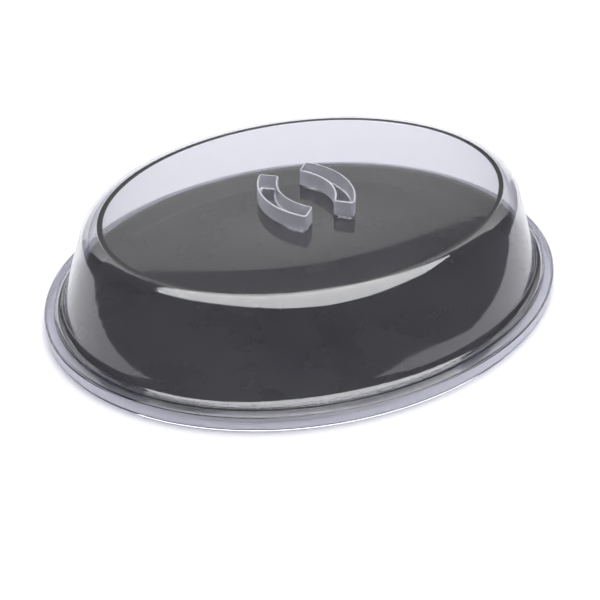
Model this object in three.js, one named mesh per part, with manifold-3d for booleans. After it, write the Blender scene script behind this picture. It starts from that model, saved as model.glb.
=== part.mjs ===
// Oval growing tray with a clear humidity dome: a shallow black tray, the transparent cover
// that stands on its rim, and the two hollow finger grips on the cover's crown.
// Millimetres, +Z up. The origin is the middle of the tray's flat underside, and X is the long way.
import * as THREE from "three";
import { mergeVertices } from "three/addons/utils/BufferGeometryUtils.js";
import Module from "manifold-3d";

const wasm = await Module();
wasm.setup();

// Driving dimensions
const OVERALL_LENGTH = 460; // over the cover's skirt
const OVERALL_WIDTH = 375;
const WALL = 2; // the cover's wall thickness
const SEAT_GAP = 0.3; // between pieces that touch
const OVAL_SEGMENTS = 72;
const ARC_TOLERANCE = 0.15; // how far a rounded corner's facets may lie inside its true arc

const HALF_LENGTH = OVERALL_LENGTH / 2;
const PINCH = (OVERALL_LENGTH - OVERALL_WIDTH) / 2; // how much narrower than long every oval is

// Cover, from the skirt up: insets are measured inward from the skirt, heights from the floor
const SKIRT_BOTTOM = 0.8;
const FLANGE_TOP = 12.1;
const FLANGE_EDGE_INSET = 0.8;
const FLANGE_EDGE_RADIUS = 2.4;
const RISER_FOOT_INSET = 8.8;
const RISER_TOP_INSET = 9.6;
const RISER_RADIUS = 0.8;
const LEDGE_TOP = 15;
const WALL_FOOT_INSET = 16;
const WALL_FOOT_RADIUS = 6;
const WALL_DRAFT = THREE.MathUtils.degToRad(19);
const SHOULDER_RADIUS = 18;
const SHOULDER_TOP = 86.8;
const CROWN_DISH = 7.4; // how far the crown's middle lies below the shoulder
const CROWN_LAND = 0.34; // share of the crown, from its middle, that is flat
const CROWN_STEPS = 6;
const LEAST_RADIUS = 0.4; // of a rounded corner's inner side

// Tray
const RIM_INSET = 12.2;
const RIM_WIDTH = 3.6;
const RIM_DROP = 3;
const RIM_CORNER_RADIUS = 1;
const TRAY_WALL = 2.2;
const TRAY_FLOOR = 2.6;
const TRAY_BASE_INSET = 24;
const TRAY_CORNER_RADIUS = 3.5;

// Finger grips: two curved boxes without lids, each bent about a point beyond the other one
const GRIP_OUTER_RADIUS = 60;
const GRIP_INNER_RADIUS = 42.6;
const GRIP_BEND_OFFSET = 21.4; // from the crown's middle to the point that a grip is bent about
const GRIP_HALF_ANGLE = THREE.MathUtils.degToRad(43.5);
const GRIP_HEIGHT = 14;
const GRIP_WALL = 1.9;
const GRIP_FLOOR = 1.6;
const GRIP_CORNER = 3;
const GRIP_SIDE_STEPS = 14;
const CORNER_STEPS = 3;

const clearPlastic = new THREE.MeshStandardMaterial({
  color: 0xe4e4ee,
  roughness: 0.08,
  metalness: 0,
  transparent: true,
  opacity: 0.3,
});
const blackPlastic = new THREE.MeshStandardMaterial({ color: 0x29292c, roughness: 0.35, metalness: 0 });

// Where the line from a to b meets the line from c to d.
function meeting(a, b, c, d) {
  const along = b.clone().sub(a);
  const other = d.clone().sub(c);
  const share = c.clone().sub(a).cross(other) / along.cross(other);
  return a.clone().addScaledVector(along, share);
}

// An open outline through corners of {point, radius}, with an arc at every corner that has a radius.
function roundedOutline(corners) {
  const outline = [];
  corners.forEach(({ point, radius }, i) => {
    if (!radius) {
      outline.push(point.clone());
      return;
    }
    const before = corners[i - 1].point.clone().sub(point).normalize();
    const after = corners[i + 1].point.clone().sub(point).normalize();
    const half = Math.acos(THREE.MathUtils.clamp(before.dot(after), -1, 1)) / 2;
    const middle = before.clone().add(after).normalize();
    const centre = point.clone().addScaledVector(middle, radius / Math.sin(half));
    const start = point.clone().addScaledVector(before, radius / Math.tan(half)).sub(centre);
    const turn = (Math.PI - 2 * half) * Math.sign(after.cross(before));
    const stepAngle = 2 * Math.acos(1 - ARC_TOLERANCE / radius);
    const steps = Math.max(2, Math.ceil(Math.abs(turn) / stepAngle));
    for (let k = 0; k <= steps; k += 1) {
      outline.push(start.clone().rotateAround(new THREE.Vector2(), (turn * k) / steps).add(centre));
    }
  });
  return outline;
}

// The same corners moved sideways by a wall thickness, the arcs staying concentric.
function offsetCorners(corners, distance) {
  const normals = corners.slice(1).map(({ point }, i) => {
    const along = point.clone().sub(corners[i].point).normalize();
    return new THREE.Vector2(along.y, -along.x).multiplyScalar(distance);
  });
  return corners.map(({ point, radius }, i) => {
    const before = normals[Math.max(i - 1, 0)];
    const after = normals[Math.min(i, normals.length - 1)];
    if (i === 0 || i === corners.length - 1) {
      return { point: point.clone().add(i === 0 ? after : before), radius: 0 };
    }
    const last = corners[i - 1].point.clone().add(before);
    const next = corners[i + 1].point.clone().add(after);
    const moved = meeting(last, point.clone().add(before), next, point.clone().add(after));
    const bend = point.clone().sub(corners[i - 1].point).cross(corners[i + 1].point.clone().sub(point));
    return { point: moved, radius: radius && Math.max(radius + Math.sign(bend) * distance, LEAST_RADIUS) };
  });
}

// A closed outline of (radius, height), turned about Z and then pressed into ovals: beyond
// evenRadius every oval is PINCH narrower than long, and inside it the ovals shrink evenly.
function ovalSolid(outline, evenRadius) {
  const geometry = new THREE.LatheGeometry(outline, OVAL_SEGMENTS).rotateX(Math.PI / 2);
  const position = geometry.attributes.position;
  for (let i = 0; i < position.count; i += 1) {
    const radius = Math.hypot(position.getX(i), position.getY(i));
    if (radius > 0) {
      position.setY(i, position.getY(i) * (1 - (PINCH * Math.min(1, radius / evenRadius)) / radius));
    }
  }
  geometry.deleteAttribute("normal");
  geometry.deleteAttribute("uv");
  return mergeVertices(geometry);
}

// Corners of the cover's outer side from the skirt's lower edge to the top of the shoulder,
// as (inset, height).
function coverCorners() {
  const wallFoot = new THREE.Vector2(WALL_FOOT_INSET, LEDGE_TOP);
  const rise = SHOULDER_TOP - LEDGE_TOP;
  const shoulder = new THREE.Vector2(WALL_FOOT_INSET + rise * Math.tan(WALL_DRAFT), SHOULDER_TOP);
  const turned = (Math.PI / 2 - WALL_DRAFT) / 2;
  const crownEdge = shoulder.x + SHOULDER_RADIUS * Math.tan(turned);
  return [
    { point: new THREE.Vector2(0, SKIRT_BOTTOM), radius: 0 },
    { point: new THREE.Vector2(FLANGE_EDGE_INSET, FLANGE_TOP), radius: FLANGE_EDGE_RADIUS },
    { point: new THREE.Vector2(RISER_FOOT_INSET, FLANGE_TOP), radius: RISER_RADIUS },
    { point: new THREE.Vector2(RISER_TOP_INSET, LEDGE_TOP), radius: RISER_RADIUS },
    { point: wallFoot, radius: WALL_FOOT_RADIUS },
    { point: shoulder, radius: SHOULDER_RADIUS },
    { point: new THREE.Vector2(crownEdge, SHOULDER_TOP), radius: 0 },
  ];
}

// The dished crown from its edge to its middle: a parabola from the edge down to a flat land.
function crownOutline(edgeRadius, edgeHeight) {
  const outline = [];
  for (let k = 1; k <= CROWN_STEPS; k += 1) {
    const climb = 1 - k / CROWN_STEPS;
    const share = CROWN_LAND + (1 - CROWN_LAND) * climb;
    outline.push(new THREE.Vector2(edgeRadius * share, edgeHeight - CROWN_DISH * (1 - climb ** 2)));
  }
  outline.push(new THREE.Vector2(0, edgeHeight - CROWN_DISH));
  return outline;
}

function coverGeometry() {
  const outerCorners = coverCorners();
  const toRadius = (p) => new THREE.Vector2(HALF_LENGTH - p.x, p.y);
  const outer = roundedOutline(outerCorners).map(toRadius);
  const inner = roundedOutline(offsetCorners(outerCorners, WALL)).map(toRadius);
  inner[0].y = SKIRT_BOTTOM;
  const edgeRadius = outer[outer.length - 1].x;
  outer.push(...crownOutline(edgeRadius, SHOULDER_TOP));
  inner.push(...crownOutline(edgeRadius, SHOULDER_TOP - WALL));
  return ovalSolid([...inner.reverse(), ...outer], edgeRadius);
}

function trayGeometry() {
  const rimTop = LEDGE_TOP - WALL - SEAT_GAP;
  const rimUnder = rimTop - RIM_DROP;
  const corners = [
    [HALF_LENGTH, 0, 0],
    [TRAY_BASE_INSET, 0, TRAY_CORNER_RADIUS],
    [RIM_INSET + RIM_WIDTH - TRAY_WALL / 2, rimUnder, 0],
    [RIM_INSET, rimUnder, 0],
    [RIM_INSET, rimTop, RIM_CORNER_RADIUS],
    [RIM_INSET + RIM_WIDTH, rimTop, RIM_CORNER_RADIUS],
    [TRAY_BASE_INSET + TRAY_WALL, TRAY_FLOOR, TRAY_CORNER_RADIUS],
    [HALF_LENGTH, TRAY_FLOOR, 0],
  ];
  const rounded = roundedOutline(
    corners.map(([inset, height, radius]) => ({ point: new THREE.Vector2(inset, height), radius })),
  );
  const outline = rounded.map((p) => new THREE.Vector2(HALF_LENGTH - p.x, p.y));
  return ovalSolid(outline, HALF_LENGTH - TRAY_BASE_INSET - TRAY_WALL - TRAY_CORNER_RADIUS);
}

// A bar with rounded corners, bent about the origin: its straight outline runs from one radius to
// another and along the arc, and each point of it is turned by its distance along the bar.
function bentBar(innerRadius, outerRadius, halfLength, corner) {
  const middleRadius = (GRIP_INNER_RADIUS + GRIP_OUTER_RADIUS) / 2;
  const points = [];
  const bend = (radius, along) => {
    const angle = along / middleRadius;
    points.push(new THREE.Vector2(radius * Math.cos(angle), radius * Math.sin(angle)));
  };
  const centres = [
    [outerRadius - corner, halfLength - corner, 0],
    [innerRadius + corner, halfLength - corner, Math.PI / 2],
    [innerRadius + corner, corner - halfLength, Math.PI],
    [outerRadius - corner, corner - halfLength, (3 * Math.PI) / 2],
  ];
  centres.forEach(([radius, along, start], i) => {
    for (let k = 0; k <= CORNER_STEPS; k += 1) {
      const angle = start + (Math.PI / 2) * (k / CORNER_STEPS);
      bend(radius + corner * Math.cos(angle), along + corner * Math.sin(angle));
    }
    if (i % 2 === 1) {
      const side = i === 1 ? innerRadius : outerRadius;
      const from = i === 1 ? halfLength - corner : corner - halfLength;
      for (let k = 1; k < GRIP_SIDE_STEPS; k += 1) {
        bend(side, from * (1 - (2 * k) / GRIP_SIDE_STEPS));
      }
    }
  });
  return new THREE.Shape(points);
}

function toSolid(geometry) {
  geometry.deleteAttribute("normal");
  geometry.deleteAttribute("uv");
  const merged = mergeVertices(geometry);
  const vertProperties = new Float32Array(merged.attributes.position.array);
  const triVerts = new Uint32Array(merged.index.array);
  return new wasm.Manifold(new wasm.Mesh({ numProp: 3, vertProperties, triVerts }));
}

function toGeometry(solid) {
  const mesh = solid.getMesh();
  const geometry = new THREE.BufferGeometry();
  geometry.setAttribute("position", new THREE.BufferAttribute(new Float32Array(mesh.vertProperties), 3));
  geometry.setIndex(new THREE.BufferAttribute(new Uint32Array(mesh.triVerts), 1));
  return geometry;
}

function gripGeometry() {
  const middleRadius = (GRIP_INNER_RADIUS + GRIP_OUTER_RADIUS) / 2;
  const halfLength = middleRadius * GRIP_HALF_ANGLE;
  const body = new THREE.ExtrudeGeometry(
    bentBar(GRIP_INNER_RADIUS, GRIP_OUTER_RADIUS, halfLength, GRIP_CORNER),
    { depth: GRIP_HEIGHT - SEAT_GAP, bevelEnabled: false },
  );
  const pocket = new THREE.ExtrudeGeometry(
    bentBar(
      GRIP_INNER_RADIUS + GRIP_WALL,
      GRIP_OUTER_RADIUS - GRIP_WALL,
      halfLength - GRIP_WALL,
      GRIP_CORNER - GRIP_WALL / 2,
    ),
    { depth: GRIP_HEIGHT, bevelEnabled: false },
  ).translate(0, 0, GRIP_FLOOR);
  const hollow = toSolid(body).subtract(toSolid(pocket));
  return toGeometry(hollow).translate(-GRIP_BEND_OFFSET, 0, 0);
}

function piece(name, geometry, material) {
  const mesh = new THREE.Mesh(geometry, material);
  mesh.name = name;
  return mesh;
}

const model = new THREE.Group();
model.add(piece("tray", trayGeometry(), blackPlastic));

const cover = new THREE.Group();
cover.add(piece("dome", coverGeometry(), clearPlastic));
for (const [name, turn] of [["right_grip", 0], ["left_grip", Math.PI]]) {
  const grip = piece(name, gripGeometry(), clearPlastic.clone());
  grip.position.z = SHOULDER_TOP - CROWN_DISH + SEAT_GAP;
  grip.rotation.z = turn;
  cover.add(grip);
}
model.add(cover);

export default model;
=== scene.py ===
"""Looks of an oval growing tray under a clear humidity dome with two hollow finger grips.

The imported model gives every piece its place. This script covers it with smooth, dressed meshes:
a black polystyrene tray, a clear polystyrene cover, and the two curved grips on its crown.
Sizes in the classes are millimetres and angles are degrees; meshes are written in metres.
"""

from __future__ import annotations

import logging
import math
from collections.abc import Sequence
from dataclasses import dataclass, field
from enum import Enum

import bpy
import numpy as np
from mathutils import Matrix, Vector

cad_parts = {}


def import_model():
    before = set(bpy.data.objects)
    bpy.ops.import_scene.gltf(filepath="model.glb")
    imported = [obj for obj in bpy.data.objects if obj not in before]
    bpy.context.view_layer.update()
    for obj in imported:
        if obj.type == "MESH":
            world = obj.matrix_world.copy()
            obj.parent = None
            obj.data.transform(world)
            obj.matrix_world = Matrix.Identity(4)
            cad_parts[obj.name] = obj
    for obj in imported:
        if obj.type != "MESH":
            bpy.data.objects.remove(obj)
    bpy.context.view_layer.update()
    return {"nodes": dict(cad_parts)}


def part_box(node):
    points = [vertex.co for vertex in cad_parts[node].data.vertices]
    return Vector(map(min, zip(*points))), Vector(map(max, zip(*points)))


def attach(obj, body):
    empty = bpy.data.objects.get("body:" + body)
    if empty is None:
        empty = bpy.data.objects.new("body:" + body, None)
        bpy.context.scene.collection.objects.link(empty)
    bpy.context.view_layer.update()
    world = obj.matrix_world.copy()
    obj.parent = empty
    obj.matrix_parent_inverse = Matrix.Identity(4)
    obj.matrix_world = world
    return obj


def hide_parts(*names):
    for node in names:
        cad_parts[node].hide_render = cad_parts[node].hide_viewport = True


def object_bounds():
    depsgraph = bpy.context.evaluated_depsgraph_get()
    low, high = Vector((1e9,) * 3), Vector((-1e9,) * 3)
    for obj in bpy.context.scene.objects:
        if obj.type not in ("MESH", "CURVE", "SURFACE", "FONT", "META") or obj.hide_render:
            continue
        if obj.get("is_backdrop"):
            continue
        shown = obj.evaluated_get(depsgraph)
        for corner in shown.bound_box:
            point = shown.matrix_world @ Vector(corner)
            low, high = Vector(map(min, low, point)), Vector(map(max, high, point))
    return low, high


LOG = logging.getLogger("humidity_dome")
MM = 0.001


# ---------------------------------------------------------------- colours and shader nodes


def linear(hex_code: str) -> tuple[float, float, float, float]:
    """Turn an sRGB hex colour into linear light.

    Args:
        hex_code: Six hex digits, such as "2b2b2f".

    Returns:
        Linear red, green, blue and an alpha of 1.
    """
    values = np.array([int(hex_code[i : i + 2], 16) / 255 for i in (0, 2, 4)])
    light = np.where(values <= 0.04045, values / 12.92, ((values + 0.055) / 1.055) ** 2.4)
    return float(light[0]), float(light[1]), float(light[2]), 1.0


def add_node(
    tree: bpy.types.NodeTree,
    kind: str,
    settings: dict[str, object] | None = None,
    values: dict[str | int, object] | None = None,
    links: dict[str | int, bpy.types.NodeSocket] | None = None,
) -> bpy.types.Node:
    """Add one shader node.

    Args:
        tree: The node tree that gets it.
        kind: Blender's name for the node's type.
        settings: Attributes of the node itself, such as its operation.
        values: Constants for its input sockets, by name or index.
        links: Output sockets that feed its input sockets, by name or index.

    Returns:
        The new node.
    """
    node = tree.nodes.new(kind)
    for name, value in (settings or {}).items():
        setattr(node, name, value)
    for socket, value in (values or {}).items():
        node.inputs[socket].default_value = value
    for socket, source in (links or {}).items():
        tree.links.new(source, node.inputs[socket])
    return node


def new_material(name: str) -> tuple[bpy.types.Material, bpy.types.NodeTree]:
    """Make an empty node material.

    Args:
        name: The material's name.

    Returns:
        The material and its cleared node tree.
    """
    material = bpy.data.materials.new(name)
    material.use_nodes = True
    material.node_tree.nodes.clear()
    return material, material.node_tree


def pattern(
    tree: bpy.types.NodeTree, where: bpy.types.NodeSocket, pitch_mm: float, detail: float = 2.0
) -> bpy.types.NodeSocket:
    """Noise whose spots are a real distance apart.

    Args:
        tree: The node tree that gets it.
        where: The coordinates, in metres.
        pitch_mm: The distance from one spot to the next.
        detail: How many finer octaves the noise adds.

    Returns:
        The noise's factor, from 0 to 1.
    """
    values = {"Scale": 1 / (pitch_mm * MM), "Detail": detail}
    return add_node(tree, "ShaderNodeTexNoise", None, values, {"Vector": where}).outputs["Fac"]


def remap(
    tree: bpy.types.NodeTree, source: bpy.types.NodeSocket, low: float, high: float
) -> bpy.types.NodeSocket:
    """Spread a noise factor's middle range, 0.3 to 0.7, over low to high.

    Args:
        tree: The node tree that gets it.
        source: The factor.
        low: The result at 0.3 and below.
        high: The result at 0.7 and above.

    Returns:
        The remapped number.
    """
    values = {"From Min": 0.3, "From Max": 0.7, "To Min": low, "To Max": high}
    return add_node(tree, "ShaderNodeMapRange", None, values, {"Value": source}).outputs["Result"]


# ---------------------------------------------------------------- finishes


@dataclass(frozen=True)
class ClearPolystyrene:
    """Crystal polystyrene, injection moulded in a polished tool.

    It is clear with a faint violet cast and bends light strongly, so rims and rolled edges look
    bright and grey; below the rim's height its tint is darker, painted shade for the shadowed
    floor seen through the rim. The melt ran outwards from the crown, which leaves very shallow
    waves that run down the wall and make reflections waver.

    Attributes:
        name: The material's name.
        tint: Colour that the dome's wall lets through.
        rim_painted_shade_tint: The same for the rim, set darker than the plastic itself because with the
            plain
        tint the folded rim renders too bright: painted shade for the shadowed floor seen through it.
        rim_shade: Colour that the rim's faces pass on to what lies in their shadow.
        dome_shade: The same for the thin dome above it.
        rim_height_mm: Where the rim ends.
        ior: Refractive index of polystyrene.
        polish: Lowest and highest roughness.
        haze_pitch_mm: Size of the patches where the polish differs.
        flow_lines: How many shallow waves lie side by side along a distance of one mean radius.
        flow_height_mm: Depth of those waves.
        flow_start_mm: Distance from the crown's middle where the waves begin.
        flow_full_mm: Distance where they reach their full depth.
    """

    name: str = "clear_polystyrene_polished"
    tint: str = "f2f2f7"
    rim_painted_shade_tint: str = "cacad1"
    rim_shade: str = "c4c4cc"
    dome_shade: str = "fbfbfd"
    rim_height_mm: float = 13.0
    ior: float = 1.57
    polish: tuple[float, float] = (0.015, 0.05)
    haze_pitch_mm: float = 35.0
    flow_lines: float = 26.0
    flow_height_mm: float = 0.06
    flow_start_mm: float = 130.0
    flow_full_mm: float = 210.0

    def material(self) -> bpy.types.Material:
        """Build the material: a refracting wall that lets lamps through to what is under it.

        Returns:
            The material.
        """
        material, tree = new_material(self.name)
        place = add_node(tree, "ShaderNodeTexCoord").outputs["Object"]
        polish = remap(tree, pattern(tree, place, self.haze_pitch_mm), *self.polish)
        # Direction from the middle of the crown, so that the waves run outwards and down the wall.
        flat = add_node(tree, "ShaderNodeMapping", None, {"Scale": (1, 1.2, 0)}, {"Vector": place})
        outwards = add_node(
            tree, "ShaderNodeVectorMath", {"operation": "NORMALIZE"}, None, {0: flat.outputs[0]}
        )
        flow = add_node(
            tree,
            "ShaderNodeTexNoise",
            None,
            {"Scale": self.flow_lines, "Detail": 1.0},
            {"Vector": outwards.outputs[0]},
        )
        reach = add_node(tree, "ShaderNodeVectorMath", {"operation": "LENGTH"}, None, {0: flat.outputs[0]})
        fade = add_node(
            tree,
            "ShaderNodeMapRange",
            None,
            {"From Min": self.flow_start_mm * MM, "From Max": self.flow_full_mm * MM},
            {"Value": reach.outputs["Value"]},
        )
        waves = add_node(
            tree,
            "ShaderNodeBump",
            None,
            {"Distance": self.flow_height_mm * MM},
            {"Height": flow.outputs["Fac"], "Strength": fade.outputs[0]},
        )
        level = add_node(tree, "ShaderNodeSeparateXYZ", None, None, {0: place}).outputs["Z"]
        above = add_node(
            tree, "ShaderNodeMath", {"operation": "GREATER_THAN"}, {1: self.rim_height_mm * MM}, {0: level}
        )
        # Below the rim's height the wall takes the darker rim tint, painted shade for the floor under the
        # rim, and casts the darker rim shadow.
        tint, shade = (
            add_node(
                tree,
                "ShaderNodeMix",
                {"data_type": "RGBA"},
                {6: linear(at_rim), 7: linear(on_dome)},
                {0: above.outputs[0]},
            ).outputs[2]
            for at_rim, on_dome in ((self.rim_painted_shade_tint, self.tint), (self.rim_shade, self.dome_shade))
        )
        wall = add_node(
            tree,
            "ShaderNodeBsdfPrincipled",
            None,
            {"IOR": self.ior, "Transmission Weight": 1.0},
            {"Base Color": tint, "Roughness": polish, "Normal": waves.outputs[0]},
        )
        open_to_lamps = add_node(
            tree, "ShaderNodeBsdfTransparent", None, None, {"Color": shade}
        )
        path = add_node(tree, "ShaderNodeLightPath")
        mixed = add_node(
            tree,
            "ShaderNodeMixShader",
            None,
            None,
            {0: path.outputs["Is Shadow Ray"], 1: wall.outputs[0], 2: open_to_lamps.outputs[0]},
        )
        add_node(tree, "ShaderNodeOutputMaterial", None, None, {"Surface": mixed.outputs[0]})
        return material


@dataclass(frozen=True)
class FrostedPolystyrene:
    """The same crystal polystyrene where the tool was blasted with grit for a better hold.

    The matt face scatters lamp light, so it looks pale grey and milky over a dark ground.

    Attributes:
        name: The material's name.
        colour: Colour of the scattered light.
        ior: Refractive index of polystyrene.
        passes: Share of the light that goes through instead of being scattered.
        matt: Lowest and highest roughness.
        grit_mm: Pitch of the blasted texture, drawn coarser than its real 0.1 mm so that it shows.
        grit_height_mm: Depth of the texture.
    """

    name: str = "clear_polystyrene_blasted"
    colour: str = "e6e6ee"
    ior: float = 1.57
    passes: float = 0.4
    matt: tuple[float, float] = (0.32, 0.5)
    grit_mm: float = 0.9
    grit_height_mm: float = 0.02

    def material(self) -> bpy.types.Material:
        """Build the material.

        Returns:
            The material.
        """
        material, tree = new_material(self.name)
        place = add_node(tree, "ShaderNodeTexCoord").outputs["Object"]
        grit = pattern(tree, place, self.grit_mm, detail=3.0)
        texture = add_node(
            tree, "ShaderNodeBump", None, {"Distance": self.grit_height_mm * MM}, {"Height": grit}
        )
        shader = add_node(
            tree,
            "ShaderNodeBsdfPrincipled",
            None,
            {
                "Base Color": linear(self.colour),
                "IOR": self.ior,
                "Transmission Weight": self.passes,
            },
            {"Roughness": remap(tree, grit, *self.matt), "Normal": texture.outputs[0]},
        )
        add_node(tree, "ShaderNodeOutputMaterial", None, None, {"Surface": shader.outputs[0]})
        return material


@dataclass(frozen=True)
class BlackPolystyrene:
    """High-impact polystyrene with carbon black, injection moulded in a fine-grained tool.

    It is a deep neutral black with a soft sheen: the grain spreads every reflection, and flow
    from the gate leaves slightly greyer patches.

    Attributes:
        name: The material's name.
        dark: Colour of most of the surface.
        bloomed: Colour of the greyer patches.
        ior: Refractive index of polystyrene.
        gloss: How strongly the surface shines. It is set to under a third of the 0.5 that
        a plain face of this index has, so other lighting may want it back up.
        sheen: Lowest and highest roughness.
        patch_mm: Size of the patches.
        grain_mm: Pitch of the tool's grain, drawn coarser than its real 0.3 mm so that it shows.
        grain_height_mm: Depth of the grain.
    """

    name: str = "black_polystyrene_grained"
    dark: str = "0d0d0f"
    bloomed: str = "131316"
    ior: float = 1.57
    gloss: float = 0.15
    sheen: tuple[float, float] = (0.24, 0.34)
    patch_mm: float = 60.0
    grain_mm: float = 1.1
    grain_height_mm: float = 0.03

    def material(self) -> bpy.types.Material:
        """Build the material.

        Returns:
            The material.
        """
        material, tree = new_material(self.name)
        place = add_node(tree, "ShaderNodeTexCoord").outputs["Object"]
        patches = pattern(tree, place, self.patch_mm, detail=4.0)
        colour = add_node(
            tree,
            "ShaderNodeMix",
            {"data_type": "RGBA"},
            {6: linear(self.dark), 7: linear(self.bloomed)},
            {0: remap(tree, patches, 0.0, 1.0)},
        )
        grain = add_node(
            tree,
            "ShaderNodeBump",
            None,
            {"Strength": 0.6, "Distance": self.grain_height_mm * MM},
            {"Height": pattern(tree, place, self.grain_mm)},
        )
        shader = add_node(
            tree,
            "ShaderNodeBsdfPrincipled",
            None,
            {"IOR": self.ior, "Specular IOR Level": self.gloss},
            {
                "Base Color": colour.outputs[2],
                "Roughness": remap(tree, patches, *self.sheen),
                "Normal": grain.outputs[0],
            },
        )
        add_node(tree, "ShaderNodeOutputMaterial", None, None, {"Surface": shader.outputs[0]})
        return material


@dataclass(frozen=True)
class MattPaper:
    """Unglazed white paper on a studio table: it scatters light evenly and has no shine.

    Attributes:
        name: The material's name.
        shade: Colour of the paper.
        mottle: Colour of its slightly darker fibre clumps.
        clump_mm: Distance between clumps.
    """

    name: str = "white_paper_matt"
    shade: str = "f7f7f9"
    mottle: str = "f4f4f6"
    clump_mm: float = 8.0

    def material(self) -> bpy.types.Material:
        """Build the material.

        Returns:
            The material.
        """
        material, tree = new_material(self.name)
        place = add_node(tree, "ShaderNodeTexCoord").outputs["Object"]
        colour = add_node(
            tree,
            "ShaderNodeMix",
            {"data_type": "RGBA"},
            {6: linear(self.shade), 7: linear(self.mottle)},
            {0: pattern(tree, place, self.clump_mm)},
        )
        shader = add_node(
            tree,
            "ShaderNodeBsdfPrincipled",
            None,
            {"Roughness": 1.0, "Specular IOR Level": 0.0},
            {"Base Color": colour.outputs[2]},
        )
        add_node(tree, "ShaderNodeOutputMaterial", None, None, {"Surface": shader.outputs[0]})
        return material


# ---------------------------------------------------------------- profiles and surfaces


@dataclass(frozen=True)
class Corner:
    """A corner of a moulding's profile, in mm.

    Attributes:
        inset: Distance in from the cover's skirt.
        height: Height over the floor.
        radius: Radius of the corner's rounding, or 0 for a sharp end.
    """

    inset: float
    height: float
    radius: float = 0.0


def filled(points: np.ndarray, step: float) -> np.ndarray:
    """Put points on a line's long stretches, so that no stretch is longer than step.

    Args:
        points: Points (n, 2) along the line.
        step: The longest stretch allowed.

    Returns:
        The line's points, with the old ones kept.
    """
    lengths = np.linalg.norm(np.diff(points, axis=0), axis=1)
    along = np.concatenate([[0.0], np.cumsum(lengths)])
    cuts = [
        np.linspace(a, b, max(2, math.ceil((b - a) / step) + 1))[:-1]
        for a, b in zip(along[:-1], along[1:])
    ]
    places = np.append(np.concatenate(cuts), along[-1])
    return np.stack([np.interp(places, along, points[:, i]) for i in (0, 1)], axis=1)


def rounded(corners: Sequence[Corner], turn_step: float = 7.0, step: float = 3.0) -> np.ndarray:
    """Points along a profile whose corners are tangent arcs.

    A corner whose sides meet at twice the angle h takes an arc of radius r that starts
    r / tan(h) along each side, about a centre r / sin(h) along the line that halves the corner.

    Args:
        corners: The profile's corners.
        turn_step: The most that an arc turns from one point to the next, in degrees.
        step: The longest stretch between points, in mm.

    Returns:
        Points (n, 2) of inset and height, in mm.
    """
    at = np.array([[c.inset, c.height] for c in corners])
    runs = []
    for i, corner in enumerate(corners):
        if not corner.radius:
            runs.append(at[i : i + 1])
            continue
        before, after = (v / np.linalg.norm(v) for v in (at[i - 1] - at[i], at[i + 1] - at[i]))
        half = math.acos(float(np.clip(before @ after, -1, 1))) / 2
        bisector = (before + after) / np.linalg.norm(before + after)
        centre = at[i] + bisector * corner.radius / math.sin(half)
        arm = at[i] + before * corner.radius / math.tan(half) - centre
        turn = (math.pi - 2 * half) * np.sign(after[0] * before[1] - after[1] * before[0])
        count = max(4, math.ceil(abs(math.degrees(turn)) / turn_step) + 1)
        angle = turn * np.linspace(0, 1, count)
        cos, sin = np.cos(angle), np.sin(angle)
        runs.append(np.stack([arm[0] * cos - arm[1] * sin, arm[0] * sin + arm[1] * cos], 1) + centre)
    return filled(np.concatenate(runs), step)


def moved_sideways(corners: Sequence[Corner], distance: float, least: float = 0.4) -> list[Corner]:
    """The same profile on the other side of a wall, its arcs keeping their centres.

    Each side moves by the wall's thickness at right angles to itself, and a corner goes to where
    its two moved sides meet. An arc's radius changes by the thickness.

    Args:
        corners: The profile's corners.
        distance: The wall's thickness, in mm.
        least: The smallest radius that a rounded corner keeps.

    Returns:
        The moved corners.
    """
    at = np.array([[c.inset, c.height] for c in corners])
    along = np.diff(at, axis=0)
    along /= np.linalg.norm(along, axis=1)[:, None]
    shift = np.stack([along[:, 1], -along[:, 0]], axis=1) * distance
    moved = [Corner(*(at[0] + shift[0]))]
    for i in range(1, len(corners) - 1):
        before, after = along[i - 1], along[i]
        bend = before[0] * after[1] - before[1] * after[0]
        gap = shift[i] - shift[i - 1]
        reach = (gap[0] * after[1] - gap[1] * after[0]) / bend
        radius = max(corners[i].radius + math.copysign(distance, bend), least)
        spot = at[i] + shift[i - 1] + before * reach
        moved.append(Corner(*spot, radius if corners[i].radius else 0.0))
    moved.append(Corner(*(at[-1] + shift[-1])))
    return moved


def mesh_object(name: str, vertices: np.ndarray, faces: list[np.ndarray]) -> bpy.types.Object:
    """Make a smooth mesh object.

    Args:
        name: The piece's name.
        vertices: Points (n, 3), in mm.
        faces: Arrays of vertex numbers, each with all its faces' corners side by side.

    Returns:
        The object, at the origin, unturned and unscaled.
    """
    mesh = bpy.data.meshes.new(name)
    mesh.from_pydata((vertices * MM).tolist(), [], [f for part in faces for f in part.tolist()])
    mesh.validate()
    mesh.polygons.foreach_set("use_smooth", np.ones(len(mesh.polygons), dtype=bool))
    mesh.update()
    piece = bpy.data.objects.new(name, mesh)
    bpy.context.scene.collection.objects.link(piece)
    return piece


def strips(rows: int, columns: int) -> np.ndarray:
    """Quads between the closed rings of a grid.

    Args:
        rows: How many rings there are.
        columns: How many points each ring has.

    Returns:
        Vertex numbers (n, 4), facing outwards where rings go up as they are counted
        and points go anticlockwise seen from above.
    """
    ring = np.arange(rows - 1)[:, None] * columns
    here = np.arange(columns)[None]
    there = (here + 1) % columns
    quads = (ring + here, ring + there, ring + columns + there, ring + columns + here)
    return np.stack(quads, axis=-1).reshape(-1, 4)


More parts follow.
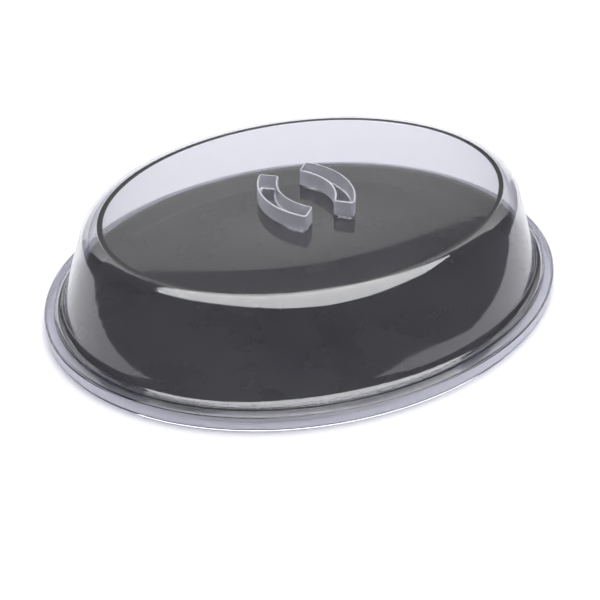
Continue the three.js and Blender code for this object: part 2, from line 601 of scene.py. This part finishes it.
@dataclass(frozen=True)
class OvalForm:
    """How a turned profile is pressed into ovals.

    A point at radius r and angle a goes to (r cos a, (r - p) sin a), where p is the pinch. Inside
    the even radius the pinch shrinks with r, so that the ovals close on the middle.

    Attributes:
        half_length: Half of the cover's length, which insets are measured from.
        pinch: How much shorter the half width is than the half length.
        segments: Points round each oval.
    """

    half_length: float
    pinch: float
    segments: int = 256

    def surface(self, name: str, profile: np.ndarray, even_radius: float) -> bpy.types.Object:
        """Turn a closed profile, from the axis round to the axis again, into an oval solid.

        Args:
            name: The piece's name.
            profile: Points (n, 2) of inset and height, in mm; the first and last lie on the axis.
            even_radius: The radius inside which the ovals shrink evenly.

        Returns:
            The piece.
        """
        radius = self.half_length - profile[1:-1, 0]
        angle = np.linspace(0, 2 * math.pi, self.segments, endpoint=False)
        narrow = radius - self.pinch * np.minimum(1, radius / even_radius)
        height = np.repeat(profile[1:-1, 1:], self.segments, axis=1)
        rings = np.stack([np.outer(radius, np.cos(angle)), np.outer(narrow, np.sin(angle)), height], -1)
        poles = np.array([[0, 0, profile[0, 1]], [0, 0, profile[-1, 1]]])
        first = np.arange(self.segments)
        after = (first + 1) % self.segments
        last = (len(radius) - 1) * self.segments
        low, high = rings.shape[0] * self.segments + np.arange(2)
        caps = [
            np.stack([np.full_like(first, low), after, first], axis=1),
            np.stack([last + first, last + after, np.full_like(first, high)], axis=1),
        ]
        vertices = np.concatenate([rings.reshape(-1, 3), poles])
        return mesh_object(name, vertices, [strips(len(radius), self.segments), *caps])


# ---------------------------------------------------------------- the mouldings


@dataclass
class GrowingTray:
    """The shallow black tray: a flat floor, a drafted wall and a rolled rim under the cover's ledge.

    Insets are in mm from the cover's skirt and heights in mm from the floor.
    """

    form: OvalForm
    rim_top: float
    rim_inset: float = 12.2
    rim_width: float = 3.6
    rim_drop: float = 3.0
    rim_radius: float = 1.0
    wall: float = 2.2
    floor: float = 2.6
    base_inset: float = 24.0
    corner_radius: float = 3.5
    finish: BlackPolystyrene = field(default_factory=BlackPolystyrene)

    def profile(self) -> np.ndarray:
        """The tray's outline from the middle of its underside, round the rim, to the floor's middle.

        Returns:
            Points (n, 2) of inset and height, in mm.
        """
        middle = self.form.half_length
        under = self.rim_top - self.rim_drop
        inside = self.rim_inset + self.rim_width
        corners = [
            Corner(middle, 0),
            Corner(self.base_inset, 0, self.corner_radius),
            Corner(inside - self.wall / 2, under, self.rim_radius / 2),
            Corner(self.rim_inset, under, self.rim_radius / 2),
            Corner(self.rim_inset, self.rim_top, self.rim_radius),
            Corner(inside, self.rim_top, self.rim_radius),
            Corner(self.base_inset + self.wall, self.floor, self.corner_radius),
            Corner(middle, self.floor),
        ]
        return rounded(corners, step=6.0)

    def build(self) -> bpy.types.Object:
        """Make the tray and dress it.

        Returns:
            The piece, which stands for the frame's tray.
        """
        even = self.form.half_length - self.base_inset - self.wall - self.corner_radius
        piece = self.form.surface("moulded_tray", self.profile(), even)
        piece.data.materials.append(self.finish.material())
        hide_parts("tray")
        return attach(piece, "tray")


@dataclass
class HumidityDome:
    """The clear cover: skirt, flange, the ledge that sits on the tray's rim, drafted wall,
    rolled shoulder and dished crown, all one wall thickness.

    Insets are in mm from the skirt and heights in mm from the floor.
    """

    form: OvalForm
    wall: float = 2.0
    skirt_bottom: float = 0.8
    skirt_lip: float = 0.5
    flange_edge: Corner = Corner(0.8, 12.1, 2.4)
    riser_foot: Corner = Corner(8.8, 12.1, 0.8)
    riser_top: Corner = Corner(9.6, 15.0, 0.8)
    wall_foot: Corner = Corner(16.0, 15.0, 6.0)
    draft: float = 19.0
    shoulder_top: float = 86.8
    shoulder_radius: float = 18.0
    dish: float = 7.4
    land: float = 0.34
    finish: ClearPolystyrene = field(default_factory=ClearPolystyrene)

    def corners(self) -> list[Corner]:
        """Corners of the outer side, from the skirt's lower edge to the crown's edge.

        Returns:
            The corners.
        """
        slope = math.radians(self.draft)
        shoulder = self.wall_foot.inset + (self.shoulder_top - self.wall_foot.height) * math.tan(slope)
        crown_edge = shoulder + self.shoulder_radius * math.tan((math.pi / 2 - slope) / 2)
        return [
            Corner(0, self.skirt_bottom),
            self.flange_edge,
            self.riser_foot,
            self.riser_top,
            self.wall_foot,
            Corner(shoulder, self.shoulder_top, self.shoulder_radius),
            Corner(crown_edge, self.shoulder_top),
        ]

    def crown(self, edge_inset: float, top: float, count: int = 56) -> np.ndarray:
        """The dished crown: a parabola from its edge down to the flat land in the middle.

        At a share s of the edge's radius, the crown lies dish (1 - q^2) below its edge, where q
        goes from 0 at the land's edge to 1 at the crown's.

        Args:
            edge_inset: Inset of the crown's edge, in mm.
            top: Height of the crown's edge, in mm.
            count: Points from the edge, left out, to the middle.

        Returns:
            Points (count, 2) of inset and height, in mm.
        """
        share = np.linspace(1, 0, count + 1)[1:]
        climb = np.clip((share - self.land) / (1 - self.land), 0, 1)
        middle = self.form.half_length
        inset = middle - (middle - edge_inset) * share
        return np.stack([inset, top - self.dish * (1 - climb**2)], axis=1)

    def profile(self) -> np.ndarray:
        """The whole section: up the inner side to front, round the skirt's lip, back over the top.

        Returns:
            Points (n, 2) of inset and height, in mm.
        """
        corners = self.corners()
        outer = rounded(corners)
        inner = rounded(moved_sideways(corners, self.wall))
        inner[0, 1] = self.skirt_bottom
        edge = corners[-1].inset
        outer = np.concatenate([outer, self.crown(edge, self.shoulder_top)])
        inner = np.concatenate([inner, self.crown(edge, self.shoulder_top - self.wall)])
        return np.concatenate([inner[::-1], self.lip(inner[0], outer[0]), outer])

    def lip(self, inside: np.ndarray, outside: np.ndarray) -> np.ndarray:
        """Points across the skirt's flat lower edge.

        Args:
            inside: The inner side's lowest point.
            outside: The outer side's lowest point.

        Returns:
            Points (2, 2) near the two corners, which keep the edge crisp.
        """
        near = np.array([self.skirt_lip, self.wall - self.skirt_lip]) / self.wall
        return inside + (outside - inside) * near[:, None]

    def build(self) -> bpy.types.Object:
        """Make the cover and dress it.

        Returns:
            The piece, which stands for the frame's dome.
        """
        edge_radius = self.form.half_length - self.corners()[-1].inset
        piece = self.form.surface("moulded_dome", self.profile(), edge_radius)
        piece.data.materials.append(self.finish.material())
        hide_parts("dome")
        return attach(piece, "cover")


class GripSide(Enum):
    """Which end of the crown a grip bows towards, as the frame node it stands for."""

    RIGHT = "right_grip"
    LEFT = "left_grip"


@dataclass
class FingerGrip:
    """One curved, open-topped box on the crown, bent about a point beyond the crown's middle.

    Every level of it is a bar with rounded corners: across the bar a point is s from the middle
    line, along it t, and it goes to radius m + s and angle t / m, where m is the middle radius.
    The outer walls and the rim are matt; the pocket's inside and the underside are polished.
    """

    side: GripSide
    base: float
    inner_radius: float = 42.6
    outer_radius: float = 60.0
    bend_offset: float = 21.4
    half_angle: float = 43.5
    height: float = 13.7
    wall: float = 1.9
    pocket_floor: float = 1.6
    corner: float = 3.0
    rim_radius: float = 0.8
    foot_radius: float = 0.9
    pocket_radius: float = 1.6
    per_corner: int = 9
    per_side: int = 40
    wall_finish: FrostedPolystyrene = field(default_factory=FrostedPolystyrene)
    floor_finish: ClearPolystyrene = field(default_factory=ClearPolystyrene)

    def levels(self) -> np.ndarray:
        """The wall's section, from the underside up the outside, over the rim, to the pocket floor.

        Returns:
            Points (n, 2) of distance in from the grip's outline and height over its base, in mm.
        """
        half_width = (self.outer_radius - self.inner_radius) / 2
        corners = [
            Corner(half_width * 0.8, 0),
            Corner(0, 0, self.foot_radius / 2),
            Corner(0.1, self.height, self.rim_radius),
            Corner(self.wall - 0.1, self.height, self.rim_radius),
            Corner(self.wall, self.pocket_floor, self.pocket_radius),
            Corner(half_width * 0.8, self.pocket_floor),
        ]
        return rounded(corners, turn_step=15.0, step=1.5)

    def outline(self, inset: np.ndarray) -> np.ndarray:
        """The bent bar's outline at each inset.

        Args:
            inset: How far each level lies in from the widest one, in mm.

        Returns:
            Points (levels, around, 2), anticlockwise, in mm.
        """
        middle = (self.inner_radius + self.outer_radius) / 2
        half_width = (self.outer_radius - self.inner_radius) / 2 - inset
        half_length = middle * math.radians(self.half_angle) - inset
        corner = np.maximum(self.corner - inset, 0.25)
        quarter = np.linspace(0, math.pi / 2, self.per_corner)
        side = np.linspace(1, -1, self.per_side + 2)[1:-1]
        across, along = [], []
        for index, (x, y) in enumerate([(1, 1), (-1, 1), (-1, -1), (1, -1)]):
            angle = quarter + index * math.pi / 2
            across.append(x * (half_width - corner)[:, None] + np.outer(corner, np.cos(angle)))
            along.append(y * (half_length - corner)[:, None] + np.outer(corner, np.sin(angle)))
            if index in (1, 3):
                across.append(np.repeat(x * half_width[:, None], self.per_side, axis=1))
                along.append(np.outer((half_length - corner) * y, side))
        across, along = np.concatenate(across, axis=1), np.concatenate(along, axis=1)
        radius, angle = middle + across, along / middle
        return np.stack([radius * np.cos(angle), radius * np.sin(angle)], axis=-1)

    def build(self) -> bpy.types.Object:
        """Make the grip and dress it.

        Returns:
            The piece, which stands for the frame's grip on its side.
        """
        levels = self.levels()
        plan = self.outline(levels[:, 0])
        plan[..., 0] -= self.bend_offset
        if self.side is GripSide.LEFT:
            plan = -plan
        rows, around = plan.shape[:2]
        height = np.repeat(levels[:, 1:] + self.base, around, axis=1)
        vertices = np.concatenate([plan, height[..., None]], axis=2).reshape(-1, 3)
        # The outline is the same forwards as backwards about the bar's middle, so each closing face
        # joins a pair of neighbours to the pair across the bar.
        here = np.arange(around // 2 - 1)
        ladder = np.stack([here, here + 1, around - 2 - here, around - 1 - here], axis=1)
        ladder = (ladder + self.per_corner) % around
        top = (rows - 1) * around
        piece = mesh_object(
            f"moulded_{self.side.value}", vertices, [strips(rows, around), ladder[:, ::-1], ladder + top]
        )
        piece.data.materials.append(self.wall_finish.material())
        piece.data.materials.append(self.floor_finish.material())
        level = levels[:, 1]
        flat = (level[1:] == level[:-1]) & (level[1:] < self.height / 2)
        inside = levels[1:, 0] > self.wall * 0.8
        polished = np.repeat(flat | inside, around)
        polished = np.concatenate([polished, np.ones(2 * len(ladder), dtype=bool)])
        piece.data.polygons.foreach_set("material_index", polished.astype(np.int32))
        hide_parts(self.side.value)
        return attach(piece, "cover")


# ---------------------------------------------------------------- studio


def looking(place: Vector, towards: Vector) -> Matrix:
    """A lamp's matrix at a place, shining at a point."""
    return Matrix.Translation(place) @ (towards - place).to_track_quat("-Z", "Y").to_matrix().to_4x4()


@dataclass(frozen=True)
class Upright:
    """An upright panel in the studio, with lengths in mm.

    Attributes:
        name: The panel's name.
        start: Where its first edge stands.
        end: Where its other edge stands.
        foot: Height of its lower edge.
        top: Height of its upper edge at the start and the end.
        glow: Brightness at its lowest and highest corner.
    """

    name: str
    start: tuple[float, float]
    end: tuple[float, float]
    foot: float
    top: tuple[float, float]
    glow: tuple[float, float]

    def corners(self) -> np.ndarray:
        """The panel's four corners (4, 3), in mm."""
        (x, y), (u, v) = self.start, self.end
        return np.array([[x, y, self.foot], [u, v, self.foot], [u, v, self.top[1]], [x, y, self.top[0]]])


@dataclass
class Studio:
    """A white sheet on a table, glowing panels over and behind it, dim walls, and the camera.

    Lengths are in mm and angles in degrees. Panels are seen only by their reflection, and each is
    given by its corners, with its brightness at its lowest and highest one. The outlines of the
    sheet and of the panel overhead aren't those of real studio gear: they were worked out
    backwards, by tracing, from where this cover should reflect them.
    """

    floor_finish: MattPaper = field(default_factory=MattPaper)
    target: tuple[float, float, float] = (-19.3, -24.2, 0.8)
    azimuth: float = -28.65
    elevation: float = 35.09
    roll: float = -0.29
    distance: float = 966.0
    lens: float = 67.5
    room_tone: str = "7a7a80"
    room_level: float = 1.0
    floor_light: float = 3.2
    light_from: tuple[float, float, float] = (250, 300, 1000)
    light_spread: float = 50.0
    sheet: tuple[tuple[float, float], ...] = (
        (-400, -480),
        (150, -480),
        (185, -400),
        (200, -265),
        (330, -150),
        (1900, 1100),
        (900, 2600),
        (-400, 2600),
    )
    panel_height: float = 1080.0
    panel_glow: float = 5.0
    panel_outline: tuple[tuple[float, float], ...] = (
        (-620, 280),
        (-420, -200),
        (-290, -760),
        (20, -1110),
        (400, -950),
        (750, -400),
        (870, 200),
        (640, 430),
        (580, 700),
        (560, 1150),
    )
    upright: tuple[Upright, ...] = (
        Upright("back_panel", (-900, 1600), (1900, 200), 570, (1300, 1300), (0.5, 1.8)),
        Upright("back_sheet", (-900, 2600), (1000, 2600), 0, (800, 800), (1.0, 1.0)),
        Upright("right_sheet", (1000, 2600), (2000, 1000), 0, (800, 700), (1.0, 1.0)),
    )

    def camera(self) -> None:
        """Set up the camera on its orbit round the target."""
        azimuth, elevation = math.radians(self.azimuth), math.radians(self.elevation)
        back = Vector(
            (
                math.sin(azimuth) * math.cos(elevation),
                -math.cos(azimuth) * math.cos(elevation),
                math.sin(elevation),
            )
        )
        place = (Vector(self.target) + back * self.distance) * MM
        data = bpy.data.cameras.new("camera")
        data.lens = self.lens
        data.sensor_width = 36.0
        camera = bpy.data.objects.new("camera", data)
        bpy.context.scene.collection.objects.link(camera)
        turn = back.to_track_quat("Z", "Y").to_matrix().to_4x4() @ Matrix.Rotation(
            math.radians(self.roll), 4, "Z"
        )
        camera.matrix_world = Matrix.Translation(place) @ turn
        bpy.context.scene.camera = camera

    def floor(self) -> None:
        """Lay the white sheet under the object."""
        outline = np.array(self.sheet)
        vertices = np.column_stack([outline, np.zeros(len(outline))])
        sheet = mesh_object("paper_sheet", vertices, [np.arange(len(outline))[None]])
        sheet.data.materials.append(self.floor_finish.material())
        sheet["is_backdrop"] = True

    def panel(self, name: str, outline: np.ndarray, low: float, high: float) -> None:
        """Hang a glowing cloth panel that is seen only by its reflection.

        Args:
            name: The panel's name.
            outline: Its corners (n, 3), in mm.
            low: Its brightness at its lowest corner, beside a white floor lit to 1.
            high: Its brightness at its highest corner.
        """
        cloth = mesh_object(name, outline, [np.arange(len(outline))[None]])
        material, tree = new_material(name)
        place = add_node(tree, "ShaderNodeTexCoord").outputs["Object"]
        level = add_node(tree, "ShaderNodeSeparateXYZ", None, None, {0: place}).outputs["Z"]
        ends = outline[:, 2].min() * MM, outline[:, 2].max() * MM + MM
        ramp = add_node(
            tree,
            "ShaderNodeMapRange",
            None,
            {"From Min": ends[0], "From Max": ends[1], "To Min": low, "To Max": high},
            {"Value": level},
        )
        glow = add_node(tree, "ShaderNodeEmission", None, None, {"Strength": ramp.outputs[0]})
        add_node(tree, "ShaderNodeOutputMaterial", None, None, {"Surface": glow.outputs[0]})
        cloth.data.materials.append(material)
        cloth.visible_camera = False
        cloth.visible_diffuse = False
        cloth.visible_shadow = False
        cloth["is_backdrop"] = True

    def lamps(self) -> None:
        """Hang the panels, and light the floor evenly from nearly overhead."""
        over = np.column_stack([self.panel_outline, np.full(len(self.panel_outline), self.panel_height)])
        self.panel("top_panel", over, self.panel_glow, self.panel_glow)
        for upright in self.upright:
            self.panel(upright.name, upright.corners(), *upright.glow)
        data = bpy.data.lights.new("even_light", "SUN")
        data.energy = self.floor_light
        data.angle = math.radians(self.light_spread)
        light = bpy.data.objects.new("even_light", data)
        bpy.context.scene.collection.objects.link(light)
        light.matrix_world = looking(Vector(self.light_from) * MM, Vector((0, 0, 0)))
        light.visible_glossy = False
        light.visible_transmission = False

    def room(self) -> None:
        """Give the room an even, dim tone."""
        world = bpy.data.worlds.new("room")
        world.use_nodes = True
        world.node_tree.nodes.clear()
        tone = add_node(
            world.node_tree,
            "ShaderNodeBackground",
            None,
            {"Color": linear(self.room_tone), "Strength": self.room_level},
        )
        add_node(world.node_tree, "ShaderNodeOutputWorld", None, None, {"Surface": tone.outputs[0]})
        bpy.context.scene.world = world
        bpy.context.scene.view_settings.view_transform = "Standard"

    def build(self) -> None:
        """Set up the camera, the sheet, the lamps and the room."""
        self.camera()
        self.floor()
        self.lamps()
        self.room()


# ---------------------------------------------------------------- assembly


def main() -> None:
    """Load the frame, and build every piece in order."""
    logging.basicConfig(level=logging.INFO, format="%(name)s: %(message)s")
    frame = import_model()
    LOG.info("frame nodes: %s", ", ".join(sorted(frame["nodes"])))
    Studio().build()
    lowest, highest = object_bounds()
    half_length = (highest[0] - lowest[0]) / 2 / MM
    form = OvalForm(half_length, half_length - (highest[1] - lowest[1]) / 2 / MM)
    tray_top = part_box("tray")[1][2] / MM
    pieces = [GrowingTray(form, rim_top=tray_top).build(), HumidityDome(form).build()]
    pieces += [FingerGrip(side, base=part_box(side.value)[0][2] / MM).build() for side in GripSide]
    for piece in pieces:
        LOG.info("%s: %d faces", piece.name, len(piece.data.polygons))


if __name__ == "__main__":
    main()
